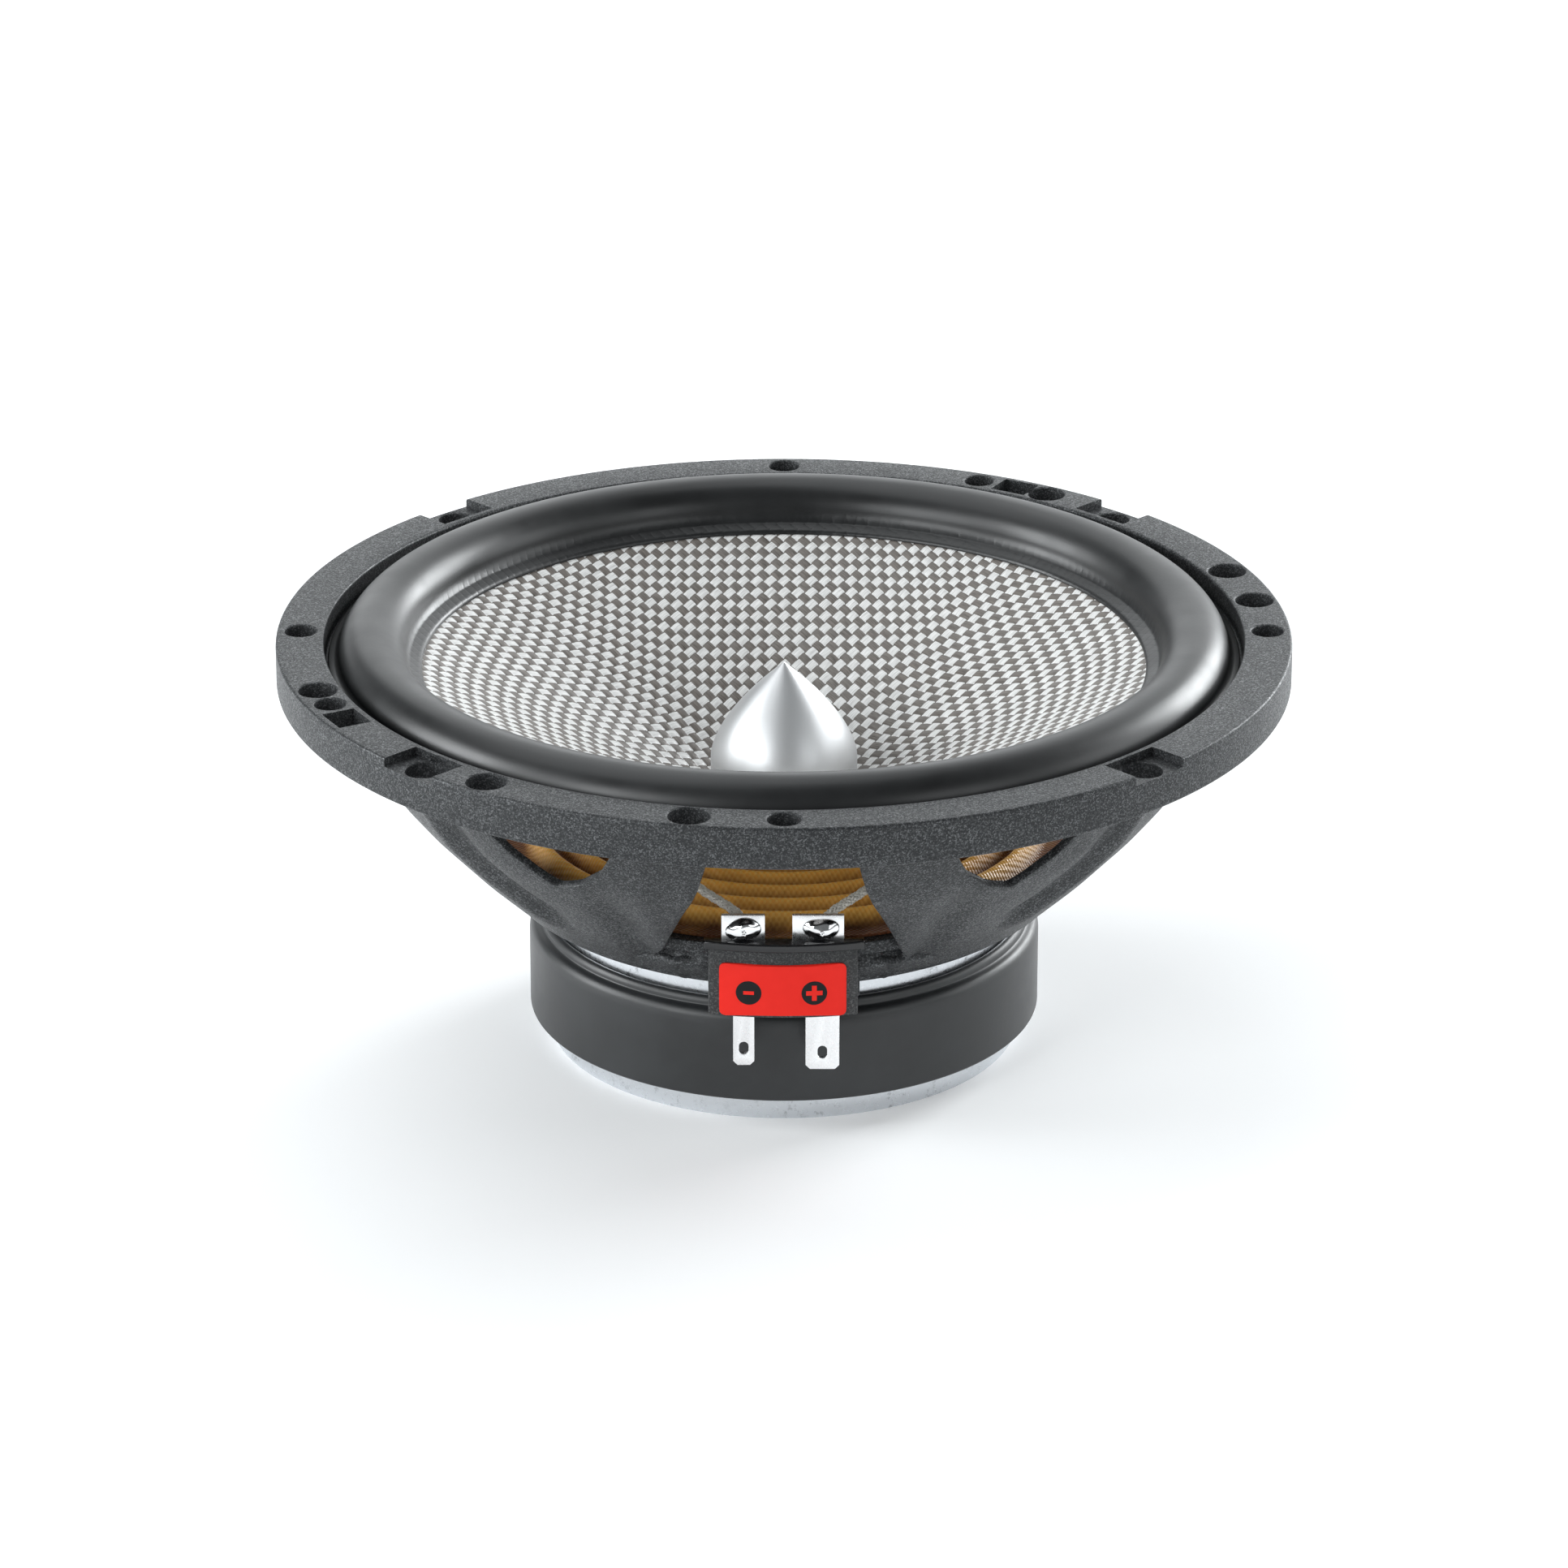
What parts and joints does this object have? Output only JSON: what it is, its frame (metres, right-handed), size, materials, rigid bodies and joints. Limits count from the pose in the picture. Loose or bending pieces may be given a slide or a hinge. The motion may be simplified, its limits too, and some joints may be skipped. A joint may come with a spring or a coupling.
{
  "type": "car mid-bass loudspeaker",
  "caption": "Round car door loudspeaker with cast basket, rubber surround, woven cone, fixed phase plug, booted ferrite motor and a tab terminal block.",
  "frame": {"origin": "centre of the back plate's rear face, on the driver's axis, where it rests on a bench", "axes": "+Z out of the cone along the driver's axis, -Y towards the terminals"},
  "size_m": [0.165, 0.165, 0.0718],
  "materials": {
    "basket": "fine sparkle anthracite powder coat",
    "zinc_screw": "zinc plated",
    "zinc_plate": "bright zinc plated steel",
    "ferrite": "ground sintered ferrite",
    "boot_rubber": "smooth moulded satin rubber",
    "turned_aluminium": "satin bead-blasted aluminium",
    "surround_rubber": "satin butyl rubber",
    "woven_cone": "lacquered glass-fibre plain weave, white and grey tows",
    "former": "amber polyimide film",
    "coil_wire": "enamelled copper wire",
    "spider_cloth": "amber resin-treated cotton weave",
    "terminal_plastic": "moulded black plastic, glossy shelf",
    "label_red": "printed red film",
    "tinned_terminal": "bright tin plated",
    "solder": "bright solder",
    "tinsel_braid": "silvered braid"
  },
  "bodies": {
    "frame": {"basket": "basket", "basket_screw_1": "zinc_screw", "basket_screw_2": "zinc_screw", "basket_screw_3": "zinc_screw", "basket_screw_4": "zinc_screw", "back_plate_and_pole": "zinc_plate", "ferrite_magnet": "ferrite", "top_plate": "zinc_plate", "magnet_boot": "boot_rubber", "phase_plug": "turned_aluminium", "plug_screw": "zinc_screw", "surround": "surround_rubber", "spider": "spider_cloth", "terminal_block": "terminal_plastic", "block_rivet_1": "zinc_screw", "block_rivet_2": "zinc_screw", "polarity_label": "label_red", "minus_terminal": "tinned_terminal", "plus_terminal": "tinned_terminal", "minus_solder_joint": "solder", "plus_solder_joint": "solder", "minus_tinsel_lead": "tinsel_braid", "plus_tinsel_lead": "tinsel_braid"},
    "cone_assembly": {"cone": "woven_cone", "voice_coil_former": "former", "voice_coil_winding": "coil_wire"}
  },
  "joints": [
    {"name": "cone_travel", "type": "slide", "parent": "frame", "child": "cone_assembly", "axis": [0, 0, 1], "range_m": [-0.004, 0.004], "stiffness_N_per_m": 1600, "deforming": ["surround", "spider", "minus_tinsel_lead", "plus_tinsel_lead"]}
  ]
}
